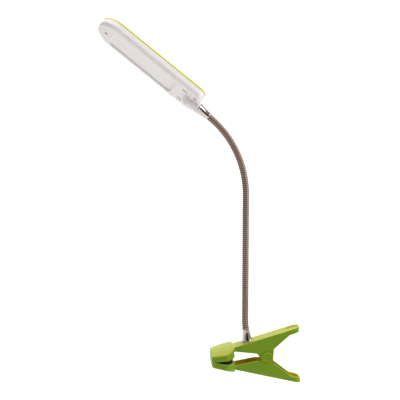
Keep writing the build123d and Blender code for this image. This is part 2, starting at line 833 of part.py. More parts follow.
# White tray: its slanted walls throw the light of the LEDs down on to the diffuser
tray_floor = housing_floor + diffuser_thickness
led_board_z = tray_floor + tray_height
with BuildPart() as reflector_tray:
    with BuildSketch(head.offset(tray_floor)):
        with Locations((window_middle, 0)):
            Rectangle(window_length + 2 * diffuser_overlap, window_width + 2 * diffuser_overlap)
        chamfer(vertices(), window_corner)
    extrude(amount=tray_height)
    with BuildSketch(head.offset(tray_floor)):
        with Locations((window_middle, 0)):
            Rectangle(window_length, window_width)
    extrude(
        amount=tray_height,
        taper=degrees(atan2((window_width - tray_mouth_width) / 2, tray_height)),
        mode=Mode.SUBTRACT,
    )
save(reflector_tray, "reflector_tray")

with BuildPart() as led_board:
    with BuildSketch(head.offset(led_board_z)):
        with Locations((window_middle, 0)):
            Rectangle(led_board_length, led_board_width)
    extrude(amount=board_thickness)
save(led_board, "led_board")

with BuildPart() as led_chips:
    with BuildSketch(head.offset(led_board_z - led_height)):
        with Locations((window_middle, 0)):
            with GridLocations(led_pitch, led_row_gap, led_columns, led_rows):
                Rectangle(led_length, led_width)
    extrude(amount=led_height)
save(led_chips, "led_chips")

# ---------------------------------------------------------------- power and control

battery_z = led_board_z + board_thickness
with BuildPart() as battery:
    with BuildSketch(head.offset(battery_z)):
        with Locations((battery_start + battery_length / 2, 0)):
            Rectangle(battery_length, battery_width)
    extrude(amount=battery_thickness)
save(battery, "battery")

with BuildPart() as control_board:
    with BuildSketch(head.offset(control_height)):
        with Locations((control_middle, 0)):
            Rectangle(control_length, control_width)
    extrude(amount=board_thickness)
save(control_board, "control_board")

control_top = control_height + board_thickness
with BuildPart() as tact_switch:
    with BuildSketch(head.offset(control_top)):
        with Locations((button_x, 0)):
            Rectangle(switch_side, switch_side)
    extrude(amount=switch_height)
    with BuildSketch(head.offset(control_top + switch_height)):
        with Locations((button_x, 0)):
            RegularPolygon(actuator_radius, hidden_sides)
    extrude(amount=actuator_height)
save(tact_switch, "tact_switch")

button_foot = control_top + switch_height + actuator_height + button_travel + button_slack
flange_top = ceiling - button_slack / 2
with BuildPart() as power_button:
    with BuildSketch(head.offset(button_foot)):
        with Locations((button_x, 0)):
            RegularPolygon(button_stem_radius, hidden_sides)
    extrude(amount=ceiling - button_foot)
    with BuildSketch(head.offset(flange_top - button_flange_thickness)):
        with Locations((button_x, 0)):
            RegularPolygon(button_flange_radius, 2 * hidden_sides)
    extrude(amount=button_flange_thickness)
    with BuildSketch(head.offset(flange_top)):
        with Locations((button_x, 0)):
            Circle(button_radius)
    extrude(amount=cover_top + button_proud - flange_top)
    chamfer(faces().sort_by(Axis(head.origin, head.z_dir))[-1].edges(), button_proud / 2)
save(power_button, "power_button")

with BuildPart() as charging_socket:
    mouth = head_width / 2 - socket_inset
    with BuildSketch(long_section.offset(mouth - socket_depth)):
        with Locations((socket_x, socket_top - socket_height / 2)):
            Rectangle(socket_width, socket_height)
    extrude(amount=socket_depth)
    with BuildSketch(long_section.offset(mouth - socket_depth + 1)):
        with Locations((socket_x, socket_top - socket_height / 2)):
            Rectangle(socket_width - 2 * socket_shell, socket_height - 2 * socket_shell)
    extrude(amount=socket_depth, mode=Mode.SUBTRACT)
save(charging_socket, "charging_socket")

# Flat twin leads, from the LED board and from the battery to the control board
with BuildPart() as lead_wires:
    landing_end = control_start + control_length - lead_landing
    led_board_start = window_middle - led_board_length / 2
    for start, lead_y, lead_z in (
        (led_board_start + lead_landing, led_lead_y, battery_z + lead_thickness / 2),
        (battery_start - lead_thickness / 2, battery_lead_y, battery_z + battery_thickness / 2),
    ):
        with BuildSketch(long_section.offset(-lead_y - lead_width / 2)):
            with BuildLine():
                Polyline(
                    (start, lead_z),
                    (led_board_start - lead_thickness, lead_z),
                    (control_start + control_length, control_top + lead_thickness / 2),
                    (landing_end, control_top + lead_thickness / 2),
                )
            trace(line_width=lead_thickness)
        extrude(amount=lead_width)
save(lead_wires, "lead_wires")
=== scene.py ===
from math import cos, pi, radians, sin, tan

import bmesh
import bpy
from mathutils import Matrix, Vector


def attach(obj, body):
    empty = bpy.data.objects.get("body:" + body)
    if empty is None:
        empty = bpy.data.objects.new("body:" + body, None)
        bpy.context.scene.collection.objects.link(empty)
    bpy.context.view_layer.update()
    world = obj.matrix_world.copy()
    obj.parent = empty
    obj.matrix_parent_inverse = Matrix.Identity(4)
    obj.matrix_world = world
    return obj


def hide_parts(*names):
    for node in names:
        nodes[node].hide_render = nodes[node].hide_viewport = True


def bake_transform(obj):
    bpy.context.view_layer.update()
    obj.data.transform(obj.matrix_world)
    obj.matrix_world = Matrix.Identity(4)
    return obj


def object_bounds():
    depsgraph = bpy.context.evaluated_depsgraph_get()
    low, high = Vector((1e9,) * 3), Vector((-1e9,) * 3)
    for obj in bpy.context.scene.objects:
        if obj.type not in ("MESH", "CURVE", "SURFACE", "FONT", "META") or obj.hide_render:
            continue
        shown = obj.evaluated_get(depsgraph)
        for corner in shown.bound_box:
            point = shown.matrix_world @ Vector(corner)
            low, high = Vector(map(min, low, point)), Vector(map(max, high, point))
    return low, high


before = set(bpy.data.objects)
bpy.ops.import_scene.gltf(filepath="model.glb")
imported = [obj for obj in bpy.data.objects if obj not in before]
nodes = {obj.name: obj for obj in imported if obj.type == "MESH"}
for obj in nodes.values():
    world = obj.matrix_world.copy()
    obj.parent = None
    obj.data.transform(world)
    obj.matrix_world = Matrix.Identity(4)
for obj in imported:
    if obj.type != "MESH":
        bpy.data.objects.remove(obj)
cad_box = [list(corner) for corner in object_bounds()]

# ------------------------------------------------------------------ studio
# Matt white paper that curves up behind the lamp, lit by a large softbox overhead, a small one at the
# side and one over the paper. The room is pale but for its dark near wall, which chrome shows as a streak.


def linear(hex_colour):
    """sRGB hex colour as linear RGBA."""
    channels = [int(hex_colour[i : i + 2], 16) / 255 for i in (1, 3, 5)]
    return [c / 12.92 if c <= 0.04045 else ((c + 0.055) / 1.055) ** 2.4 for c in channels] + [1.0]


def add_node(tree, kind, inputs=None, **settings):
    """Adds a node with its settings. Each input is a value, or a socket to link from. A colour Mix has
    its share as input 0, its colours as inputs 6 and 7, and its result as output 2."""
    node = tree.nodes.new(kind)
    for name, value in settings.items():
        setattr(node, name, value)
    for name, value in (inputs or {}).items():
        if isinstance(value, bpy.types.NodeSocket):
            tree.links.new(value, node.inputs[name])
        else:
            node.inputs[name].default_value = value
    return node


def new_material(name):
    """Empty node material: its tree and its principled shader."""
    material = bpy.data.materials.new(name)
    material.use_nodes = True
    return material, material.node_tree, material.node_tree.nodes["Principled BSDF"]


def mesh_piece(name, points, faces, material):
    """Smooth mesh object, its points in metres, with its faces turned outwards."""
    mesh = bpy.data.meshes.new(name)
    mesh.from_pydata([tuple(p) for p in points], [], faces)
    work = bmesh.new()
    work.from_mesh(mesh)
    bmesh.ops.recalc_face_normals(work, faces=work.faces)
    work.to_mesh(mesh)
    work.free()
    mesh.materials.append(material)
    mesh.shade_smooth()
    piece = bpy.data.objects.new(name, mesh)
    bpy.context.scene.collection.objects.link(piece)
    return piece


# The camera stands a metre off and a little to the left. It is turned to the right, dips a little and
# is not quite level. The angles are in degrees
camera_place, camera_turn, camera_dip, camera_roll = (-0.0678, -0.9756, 0.2981), -3.0, 6.2, -2.0
camera_lens, camera_film = 74.7, 36.0
bpy.context.scene.view_settings.view_transform = "Standard"
camera_data = bpy.data.cameras.new("camera")
camera_data.lens = camera_lens
camera_data.sensor_width = camera_film
camera = bpy.data.objects.new("camera", camera_data)
camera.matrix_world = (
    Matrix.Translation(camera_place)
    @ Matrix.Rotation(radians(camera_turn), 4, "Z")
    @ Matrix.Rotation(radians(90 - camera_dip), 4, "X")
    @ Matrix.Rotation(radians(camera_roll), 4, "Z")
)
bpy.context.scene.collection.objects.link(camera)
bpy.context.scene.camera = camera

studio_paper, tree, shader = new_material("matt_white_studio_paper")
shader.inputs["Base Color"].default_value = linear("#FFFFFF")
shader.inputs["Roughness"].default_value = 1.0
shader.inputs["Specular IOR Level"].default_value = 0.0
# The studio's sizes are in metres. The paper lies a little below the clip
paper_fall, paper_front, paper_top, paper_half_width = 0.11, -1.6, 3.5, 4.0
bend_start, bend_radius = 1.0, 1.0
floor_z = cad_box[0][2] - paper_fall
sweep = [(paper_front, floor_z)]
for angle in range(0, 91, 5):
    bend_y = bend_start + bend_radius * sin(radians(angle))
    sweep.append((bend_y, floor_z + bend_radius - bend_radius * cos(radians(angle))))
sweep.append((bend_start + bend_radius, paper_top))
points = [(x, y, z) for y, z in sweep for x in (-paper_half_width, paper_half_width)]
faces = [(2 * i, 2 * i + 1, 2 * i + 3, 2 * i + 2) for i in range(len(sweep) - 1)]
backdrop = mesh_piece("backdrop", points, faces, studio_paper)

for name, place, aim, size, power in (
    ("overhead_softbox", (-0.15, -0.65, 1.35), (0, 0, 0.15), 0.9, 4.0),
    ("side_softbox", (1.1, -0.35, 0.7), (0, 0, 0.2), 0.5, 7.0),
    ("sweep_softbox", (0.0, 0.75, 2.1), (0, 1.3, 0.0), 1.6, 40.0),
):
    lamp_data = bpy.data.lights.new(name, "AREA")
    lamp_data.size = size
    lamp_data.energy = power
    softbox = bpy.data.objects.new(name, lamp_data)
    softbox.location = place
    softbox.rotation_euler = (Vector(place) - Vector(aim)).to_track_quat("Z", "Y").to_euler()
    bpy.context.scene.collection.objects.link(softbox)

# The way to the middle of the dark wall, and the cosines from it at which the wall starts and is dark
room_light, wall_way, wall_edge, wall_dark = 0.31, (0.12, -0.99, 0.05), 0.9, 0.94
world = bpy.data.worlds.new("studio_room")
world.use_nodes = True
air = world.node_tree
gaze = add_node(air, "ShaderNodeTexCoord").outputs["Generated"]
toward_wall = add_node(air, "ShaderNodeVectorMath", {0: gaze, 1: wall_way}, operation="DOT_PRODUCT")
wall_shade = add_node(
    air, "ShaderNodeMapRange",
    {"Value": toward_wall.outputs["Value"], "From Min": wall_edge, "From Max": wall_dark,
     "To Min": room_light, "To Max": 0.0},
)
air.nodes["Background"].inputs["Color"].default_value = linear("#FFFFFF")
air.links.new(wall_shade.outputs[0], air.nodes["Background"].inputs["Strength"])
bpy.context.scene.world = world

# ------------------------------------------------------------------ clip arms
# Two injection-moulded ABS channels in lime green, snapped together at their ears. The mould leaves a
# small radius on every edge, which catches the light, and a gloss that rolls a little over thick places.
# Faces that look up are painted paler, a painted highlight, and the hollows are painted a bright
# amber: painted light that stands for the light through the thin walls.
MM = 0.001  # sizes are given in millimetres, and meshes and patterns take metres
arm_edge_radius = 0.7


def moulded_lime(name, shade, painted_up_colour):
    """Lime ABS of one sRGB colour, painted towards another where it looks up: painted light and shade by
    how much a face looks up. Thick places sink and roll its gloss. Hollows are painted a bright amber,
    painted light that stands for daylight through a thin wall. The pores are drawn coarser than they
    are, so that they show."""
    sink_width, pore_width, hollow_reach, light_reach = 14 * MM, 1.2 * MM, 20 * MM, 4 * MM
    fully_painted_lean, hollow_starts, hollow_deepest = 0.9, 0.62, 0.35
    material, tree, shader = new_material(name)
    place = add_node(tree, "ShaderNodeTexCoord").outputs["Object"]
    sink = add_node(tree, "ShaderNodeTexNoise", {"Vector": place, "Scale": 1 / sink_width, "Detail": 2.0})
    pore = add_node(tree, "ShaderNodeTexNoise", {"Vector": place, "Scale": 1 / pore_width, "Detail": 3.0})
    facing = add_node(tree, "ShaderNodeTexCoord").outputs["Normal"]
    upward = add_node(tree, "ShaderNodeSeparateXYZ", {0: facing}).outputs["Z"]
    # Painted light: faces that look up are painted towards the second colour
    painted_facing_light = add_node(
        tree, "ShaderNodeMapRange", {"Value": upward, "From Min": 0.0, "From Max": fully_painted_lean}
    )
    tone = add_node(
        tree, "ShaderNodeMix", {0: painted_facing_light.outputs[0], 6: linear(shade), 7: linear(painted_up_colour)}, data_type="RGBA"
    )
    # Painted light: hollows found by ambient occlusion are painted a bright amber, for light through the
    # thin walls
    hollow = add_node(tree, "ShaderNodeAmbientOcclusion", {"Distance": hollow_reach}, samples=8)
    painted_glow_share = add_node(
        tree, "ShaderNodeMapRange",
        {"Value": hollow.outputs["AO"], "From Min": hollow_starts, "From Max": hollow_deepest},
    )
    painted_glow = add_node(
        tree, "ShaderNodeMix", {0: painted_glow_share.outputs[0], 6: tone.outputs[2], 7: linear("#D2D018")},
        data_type="RGBA",
    )
    roll = add_node(
        tree, "ShaderNodeBump", {"Height": sink.outputs["Fac"], "Strength": 0.25, "Distance": 0.3 * MM}
    )
    pores = add_node(
        tree, "ShaderNodeBump",
        {"Height": pore.outputs["Fac"], "Strength": 0.03, "Distance": 0.02 * MM, "Normal": roll.outputs[0]},
    )
    gloss = add_node(
        tree, "ShaderNodeMapRange", {"Value": pore.outputs["Fac"], "To Min": 0.3, "To Max": 0.4}
    )
    tree.links.new(painted_glow.outputs[2], shader.inputs["Base Color"])
    tree.links.new(gloss.outputs[0], shader.inputs["Roughness"])
    tree.links.new(pores.outputs[0], shader.inputs["Normal"])
    shader.inputs["IOR"].default_value = 1.5
    shader.inputs["Specular IOR Level"].default_value = 0.25
    shader.inputs["Subsurface Weight"].default_value = 0.7
    shader.inputs["Subsurface Radius"].default_value = (1.0, 0.55, 0.05)
    shader.inputs["Subsurface Scale"].default_value = light_reach
    return material


# The second colour is the painted highlight on faces that look up
lime_abs = moulded_lime("lime_gloss_moulded_abs", "#769A04", "#A6AE16")
weld_gap, flat_angle, sharp_angle, edge_steps = 0.002 * MM, radians(0.4), radians(32), 2


def moulded_copy(name, body, material, edge_radius, reshape=None):
    """Copy of a moulded CAD node with the mould's radius, in millimetres, on its sharp edges. What has
    to be reshaped before that is moved in the welded mesh."""
    work = bmesh.new()
    work.from_mesh(nodes[name].data)
    bmesh.ops.remove_doubles(work, verts=work.verts, dist=weld_gap)
    bmesh.ops.dissolve_limit(work, angle_limit=flat_angle, verts=work.verts, edges=work.edges)
    if reshape:
        reshape(work)
    sharp = [edge for edge in work.edges if edge.calc_face_angle(0.0) > sharp_angle]
    bmesh.ops.bevel(
        work, geom=sharp, offset=edge_radius * MM, offset_type="OFFSET", segments=edge_steps, profile=0.5,
        affect="EDGES", clamp_overlap=True,
    )
    bmesh.ops.triangulate(work, faces=work.faces)
    mesh = bpy.data.meshes.new(name + "_moulded")
    work.to_mesh(mesh)
    work.free()
    if "custom_normal" in mesh.attributes:
        mesh.attributes.remove(mesh.attributes["custom_normal"])
    mesh.materials.clear()
    mesh.materials.append(material)
    mesh.shade_smooth()
    piece = bpy.data.objects.new(name + "_moulded", mesh)
    bpy.context.scene.collection.objects.link(piece)
    flats = piece.modifiers.new("flats_stay_flat", "WEIGHTED_NORMAL")
    flats.keep_sharp = True
    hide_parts(name)
    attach(piece, body)
    return piece


for name, body in (("upper_clip_arm", "base"), ("lower_clip_arm", "lower_clip")):
    arm = moulded_copy(name, body, lime_abs, arm_edge_radius)

# ------------------------------------------------------------------ jaw pads
# Ribbed nitrile rubber pads pressed into the jaws' pockets. Moulded rubber is matt, and its bloom
# greys it in soft patches. Its grain is drawn coarser than it is, so that it shows.
pad_edge_radius, bloom_width, rubber_grain = 0.25, 3 * MM, 0.35 * MM
rubber, tree, shader = new_material("black_moulded_nitrile_rubber")
place = add_node(tree, "ShaderNodeTexCoord").outputs["Object"]
bloom = add_node(tree, "ShaderNodeTexNoise", {"Vector": place, "Scale": 1 / bloom_width, "Detail": 4.0})
grain = add_node(tree, "ShaderNodeTexNoise", {"Vector": place, "Scale": 1 / rubber_grain, "Detail": 2.0})
tone = add_node(
    tree, "ShaderNodeMix", {0: bloom.outputs["Fac"], 6: linear("#1B1D19"), 7: linear("#2B2E28")},
    data_type="RGBA",
)
bump = add_node(
    tree, "ShaderNodeBump", {"Height": grain.outputs["Fac"], "Strength": 0.3, "Distance": 0.05 * MM}
)
tree.links.new(tone.outputs[2], shader.inputs["Base Color"])
tree.links.new(bump.outputs[0], shader.inputs["Normal"])
shader.inputs["Roughness"].default_value = 0.75
shader.inputs["IOR"].default_value = 1.52
for name, body in (("upper_jaw_pad", "base"), ("lower_jaw_pad", "lower_clip")):
    pad = moulded_copy(name, body, rubber, pad_edge_radius)

# ------------------------------------------------------------------ hinge pin and foot fixing
# Turned steel pin, and the flanged stud, washer and thin nut under the neck's foot. Bright zinc
# plating, dulled in fine patches where the pieces tumbled together.
spangle_width = 0.8 * MM
zinc_steel, tree, shader = new_material("bright_zinc_plated_steel")
place = add_node(tree, "ShaderNodeTexCoord").outputs["Object"]
spangle = add_node(tree, "ShaderNodeTexNoise", {"Vector": place, "Scale": 1 / spangle_width, "Detail": 3.0})
tone = add_node(
    tree, "ShaderNodeMix", {0: spangle.outputs["Fac"], 6: linear("#B7B5AF"), 7: linear("#CFCDC8")},
    data_type="RGBA",
)
dull = add_node(
    tree, "ShaderNodeMapRange", {"Value": spangle.outputs["Fac"], "To Min": 0.2, "To Max": 0.42}
)
tree.links.new(tone.outputs[2], shader.inputs["Base Color"])
tree.links.new(dull.outputs[0], shader.inputs["Roughness"])
shader.inputs["Metallic"].default_value = 1.0


def carry_over(material, *names):
    """CAD nodes that stay as they are take a finished material."""
    for name in names:
        for face_set in nodes[name].material_slots:
            face_set.material = material


carry_over(zinc_steel, "hinge_pin", "anchor_stud", "anchor_washer", "anchor_nut")

# ------------------------------------------------------------------ hinge caps
# Low discs, moulded in the clip's lime ABS and pressed over both ends of the pin. Each has a shallow
# dished face inside a raised rim, so its gloss breaks into a ring.
pivot = Vector((57.0, 0.0, 0.0))
cap_profile = [
    (2.05, 10.05), (2.05, 11.0), (0.0, 11.0), (0.0, 11.15), (4.6, 11.15), (4.95, 11.3), (5.15, 11.55),
    (5.45, 11.6), (5.85, 11.55), (6.15, 11.3), (6.2, 10.9), (6.2, 10.05),
]


def turned(name, profile, place, material, sides=64):
    """Turned piece: a profile of (radius, height) in millimetres, spun about the Z axis of a place."""
    points, rings, faces = [], [], []
    for radius, height in profile:
        if radius == 0:
            rings.append([len(points)] * sides)
            points.append(place @ Vector((0, 0, height)) * MM)
        else:
            rings.append([len(points) + k for k in range(sides)])
            for k in range(sides):
                angle = 2 * pi * k / sides
                points.append(place @ Vector((radius * cos(angle), radius * sin(angle), height)) * MM)
    for low, high in zip(rings, rings[1:] + rings[:1]):
        for k in range(sides):
            corner = [low[k], low[(k + 1) % sides], high[(k + 1) % sides], high[k]]
            corner = [c for i, c in enumerate(corner) if c not in corner[:i]]
            if len(corner) > 2:
                faces.append(corner)
    return mesh_piece(name, points, faces, material)


def crisp(piece, angle):
    """Marks the edges of a smooth piece that turn by more than an angle, in degrees, as sharp."""
    piece.data.set_sharp_from_angle(angle=radians(angle))
    return piece


for side_name, turn in (("near", 90), ("far", -90)):
    cap_place = Matrix.Translation(pivot) @ Matrix.Rotation(radians(turn), 4, "X")
    cap = crisp(turned(f"hinge_cap_{side_name}", cap_profile, cap_place, lime_abs), 35)
    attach(cap, "base")
    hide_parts("hinge_caps")

# ------------------------------------------------------------------ torsion spring
# Closed coil of zinc-plated music wire on the hinge pin. One leg presses up under each handle, so the
# legs turn with the two arms. The wire is swept along the helix in Geometry Nodes.
spring_wire, spring_turns, spring_mean_radius, steps_per_turn = 1.6, 5, 3.4, 24
spring_reach, spring_leg_height = 25.0, 27.0


def new_tree(name, inputs):
    """Geometry Nodes tree with a geometry in and out, and named inputs. Returns it and the node that
    gives its inputs."""
    tree = bpy.data.node_groups.new(name, "GeometryNodeTree")
    tree.interface.new_socket("Geometry", in_out="OUTPUT", socket_type="NodeSocketGeometry")
    tree.interface.new_socket("Geometry", in_out="INPUT", socket_type="NodeSocketGeometry")
    for label, kind in inputs:
        tree.interface.new_socket(label, in_out="INPUT", socket_type=kind)
    return tree, add_node(tree, "NodeGroupInput")


def end_tree(tree, geometry, finish):
    """Ends a tree: smooth faces, real geometry for the export, and the piece's material."""
    smooth = add_node(tree, "GeometryNodeSetShadeSmooth", {"Geometry": geometry})
    real = add_node(tree, "GeometryNodeRealizeInstances", {"Geometry": smooth.outputs[0]})
    clad = add_node(tree, "GeometryNodeSetMaterial", {"Geometry": real.outputs[0], "Material": finish})
    add_node(tree, "NodeGroupOutput", {"Geometry": clad.outputs[0]})


def grow(name, tree, values, seed):
    """Runs a tree on a curve or mesh and returns the result as a plain mesh object."""
    host = bpy.data.objects.new(name + "_host", seed)
    bpy.context.scene.collection.objects.link(host)
    modifier = host.modifiers.new("grow", "NODES")
    modifier.node_group = tree
    for item in tree.interface.items_tree:
        if item.in_out == "INPUT" and item.name in values:
            modifier[item.identifier] = values[item.name]
    depsgraph = bpy.context.evaluated_depsgraph_get()
    mesh = bpy.data.meshes.new_from_object(host.evaluated_get(depsgraph), depsgraph=depsgraph)
    mesh.name = name
    host.modifiers.clear()
    bpy.data.objects.remove(host)
    piece = bpy.data.objects.new(name, mesh)
    bpy.context.scene.collection.objects.link(piece)
    return piece


def wire_path(name, points):
    """Poly curve through points given in millimetres."""
    data = bpy.data.curves.new(name, "CURVE")
    data.dimensions = "3D"
    spline = data.splines.new("POLY")
    spline.points.add(len(points) - 1)
    for knot, point in zip(spline.points, points):
        knot.co = (*(Vector(point) * MM), 1)
    return data


spring_tree, given = new_tree(
    "wire_along_path", [("Wire radius", "NodeSocketFloat"), ("Finish", "NodeSocketMaterial")]
)
wire_ring = add_node(
    spring_tree, "GeometryNodeCurvePrimitiveCircle",
    {"Resolution": 16, "Radius": given.outputs["Wire radius"]},
)
wire = add_node(
    spring_tree, "GeometryNodeCurveToMesh",
    {"Curve": given.outputs["Geometry"], "Profile Curve": wire_ring.outputs["Curve"], "Fill Caps": True},
)
end_tree(spring_tree, wire.outputs[0], given.outputs["Finish"])

coil_half = (spring_turns - 1) * spring_wire / 2
spring_path = [pivot + Vector((spring_reach, coil_half, spring_leg_height))]
steps = steps_per_turn * spring_turns
for i in range(steps + 1):
    turn = i / steps
    angle = radians(90) + turn * (2 * pi * (spring_turns - 1) + pi)
    x, z = spring_mean_radius * cos(angle), spring_mean_radius * sin(angle)
    spring_path.append(pivot + Vector((x, coil_half - 2 * coil_half * turn, z)))
spring_path.append(pivot + Vector((spring_reach, -coil_half, -spring_leg_height)))
spring = grow(
    "spring_coil", spring_tree, {"Wire radius": spring_wire / 2 * MM, "Finish": zinc_steel},
    wire_path("spring_path", spring_path),
)
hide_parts("torsion_spring")
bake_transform(spring)

# ------------------------------------------------------------------ gooseneck
# Round steel wire wound into a closed coil, with a wedge wire wound into its groove, so it stays
# where it is bent. The outside is one fine helical ridge, nickel-grey, with painted shade darkening the
# grooves.
neck_radius, neck_groove, neck_pitch, neck_links = 4.0, 0.32, 2.4, 8
neck_sides, steps_per_pitch, ridge_roundness, stretch_steps, hidden_end = 32, 8.0, 2.0, 48, 2.0
stain_width = 9 * MM
# The neck's middle line is straight in both ferrules and up its middle, and bends between them. Leans
# are taken from upright, and the head's rise, in degrees, from level
ferrule_length, foot_lean, upright_lean, head_rise = 16.0, radians(5.0), radians(-2.0), 40.9
foot_bend_radius, neck_upright, top_bend_radius = 100.0, 149.5, 119.0
foot_turn, top_turn = foot_lean - upright_lean, radians(90 - head_rise) - upright_lean
arm_slope, arm_height, foot_to_pivot = radians(14.8), 24.0, 22.5
foot = Vector((pivot.x - foot_to_pivot, 0.0, arm_height - foot_to_pivot * tan(arm_slope)))
neck_stretches = [
    (ferrule_length, 0.0),
    (foot_bend_radius * foot_turn, -foot_turn),
    (neck_upright, 0.0),
    (top_bend_radius * top_turn, top_turn),
    (ferrule_length, 0.0),
]
neck_length = sum(length for length, turn in neck_stretches)


def neck_place(length):
    """Point of the neck's middle line and its direction there, in millimetres."""
    point, lean = foot.copy(), foot_lean
    for stretch, turn in neck_stretches:
        step = min(length, stretch)
        if turn:
            radius, leant = stretch / turn, lean + turn * step / stretch
            point += Vector((cos(leant) - cos(lean), 0, sin(leant) - sin(lean))) * radius
            lean = leant
        else:
            point += Vector((-sin(lean), 0, cos(lean))) * step
        length -= step
    return point, Vector((-sin(lean), 0, cos(lean)))


neck_metal, tree, shader = new_material("nickel_plated_wound_steel_wire")
place = add_node(tree, "ShaderNodeTexCoord").outputs["Object"]
groove_shade_share = add_node(tree, "ShaderNodeAttribute", attribute_name="groove")
stain = add_node(tree, "ShaderNodeTexNoise", {"Vector": place, "Scale": 1 / stain_width, "Detail": 4.0})
tone = add_node(
    # Painted shade: the deeper the groove, the darker its colour
    tree, "ShaderNodeMix", {0: groove_shade_share.outputs["Fac"], 6: linear("#A38D80"), 7: linear("#604B40")},
    data_type="RGBA",
)
dull = add_node(tree, "ShaderNodeMapRange", {"Value": stain.outputs["Fac"], "To Min": 0.28, "To Max": 0.42})
tree.links.new(tone.outputs[2], shader.inputs["Base Color"])
tree.links.new(dull.outputs[0], shader.inputs["Roughness"])
shader.inputs["Metallic"].default_value = 1.0

neck_tree, given = new_tree(
    "wound_neck",
    [("Radius", "NodeSocketFloat"), ("Groove", "NodeSocketFloat"), ("Pitch", "NodeSocketFloat"),
     ("Start", "NodeSocketFloat"), ("Finish", "NodeSocketMaterial")],
)
step = add_node(
    neck_tree, "ShaderNodeMath", {0: given.outputs["Pitch"], 1: steps_per_pitch}, operation="DIVIDE"
)
fine = add_node(
    neck_tree, "GeometryNodeResampleCurve",
    {"Curve": given.outputs["Geometry"], "Length": step.outputs[0]}, mode="LENGTH",
)
along_neck = add_node(neck_tree, "GeometryNodeSplineParameter")
keep_length = add_node(neck_tree, "GeometryNodeCaptureAttribute", {"Geometry": fine.outputs[0]})
keep_length.capture_items.new("FLOAT", "Length")
neck_tree.links.new(along_neck.outputs["Length"], keep_length.inputs["Length"])
ring = add_node(
    neck_tree, "GeometryNodeCurvePrimitiveCircle",
    {"Resolution": neck_sides, "Radius": given.outputs["Radius"]},
)
round_neck = add_node(neck_tree, "GeometryNodeSplineParameter")
keep_turn = add_node(neck_tree, "GeometryNodeCaptureAttribute", {"Geometry": ring.outputs[0]})
keep_turn.capture_items.new("FLOAT", "Turn")
neck_tree.links.new(round_neck.outputs["Factor"], keep_turn.inputs["Turn"])
tube = add_node(
    neck_tree, "GeometryNodeCurveToMesh",
    {"Curve": keep_length.outputs["Geometry"], "Profile Curve": keep_turn.outputs["Geometry"],
     "Fill Caps": True},
)
# The groove follows a helix: its phase is the length along the neck in pitches, plus the turn around it
wound = add_node(
    neck_tree, "ShaderNodeMath",
    {0: keep_length.outputs["Length"], 1: given.outputs["Start"]}, operation="ADD",
)
turns = add_node(
    neck_tree, "ShaderNodeMath", {0: wound.outputs[0], 1: given.outputs["Pitch"]}, operation="DIVIDE"
)
phase = add_node(
    neck_tree, "ShaderNodeMath", {0: turns.outputs[0], 1: keep_turn.outputs["Turn"]}, operation="ADD"
)
cycle = add_node(neck_tree, "ShaderNodeMath", {0: phase.outputs[0], 1: 2 * pi}, operation="MULTIPLY")
wave = add_node(neck_tree, "ShaderNodeMath", {0: cycle.outputs[0]}, operation="COSINE")
share = add_node(
    neck_tree, "ShaderNodeMapRange", {"Value": wave.outputs[0], "From Min": -1.0, "From Max": 1.0}
)
sharp = add_node(neck_tree, "ShaderNodeMath", {0: share.outputs[0], 1: ridge_roundness}, operation="POWER")
depth = add_node(
    neck_tree, "ShaderNodeMath", {0: sharp.outputs[0], 1: given.outputs["Groove"]}, operation="MULTIPLY"
)
inward = add_node(neck_tree, "ShaderNodeMath", {0: depth.outputs[0], 1: -1.0}, operation="MULTIPLY")
outward = add_node(neck_tree, "GeometryNodeInputNormal")
offset = add_node(
    neck_tree, "ShaderNodeVectorMath",
    {0: outward.outputs[0], "Scale": inward.outputs[0]}, operation="SCALE",
)
grooved = add_node(
    neck_tree, "GeometryNodeSetPosition", {"Geometry": tube.outputs[0], "Offset": offset.outputs[0]}
)
marked = add_node(
    neck_tree, "GeometryNodeStoreNamedAttribute",
    {"Geometry": grooved.outputs[0], "Name": "groove", "Value": sharp.outputs[0]},
    data_type="FLOAT", domain="POINT",
)
end_tree(neck_tree, marked.outputs[0], given.outputs["Finish"])

link_length = (neck_length - 2 * ferrule_length) / neck_links
for joint in range(1, neck_links):
    middle = ferrule_length + joint * link_length
    low, high = middle - link_length / 2, middle + link_length / 2
    # The first and last stretches run on into the ferrules
    first = hidden_end if joint == 1 else low
    last = neck_length - hidden_end if joint == neck_links - 1 else high
    stations = [
        neck_place(first + (last - first) * i / stretch_steps)[0] for i in range(stretch_steps + 1)
    ]
    stretch = grow(
        f"neck_coil_{joint}", neck_tree,
        {"Radius": neck_radius * MM, "Groove": neck_groove * MM, "Pitch": neck_pitch * MM,
         "Start": first * MM, "Finish": neck_metal},
        wire_path(f"neck_path_{joint}", stations),
    )
    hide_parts(f"neck_link_{joint}", *([f"neck_link_{neck_links}"] if joint == neck_links - 1 else []))
    neck_place(low)[0] * MM
    neck_place(high)[0] * MM
    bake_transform(stretch)

# ------------------------------------------------------------------ ferrules
# Deep-drawn brass bells over the crimped ends of the neck, with a rolled rim, nickel-chrome plated and
# polished. Polished chrome shows the room: white floor, dark streak, bright edges.
haze_width = 4 * MM
chrome, tree, shader = new_material("polished_chrome_plated_brass")
place = add_node(tree, "ShaderNodeTexCoord").outputs["Object"]
haze = add_node(tree, "ShaderNodeTexNoise", {"Vector": place, "Scale": 1 / haze_width, "Detail": 3.0})
dull = add_node(tree, "ShaderNodeMapRange", {"Value": haze.outputs["Fac"], "To Min": 0.04, "To Max": 0.11})
tree.links.new(dull.outputs[0], shader.inputs["Roughness"])
shader.inputs["Base Color"].default_value = linear("#CDC2BC")
shader.inputs["Metallic"].default_value = 1.0

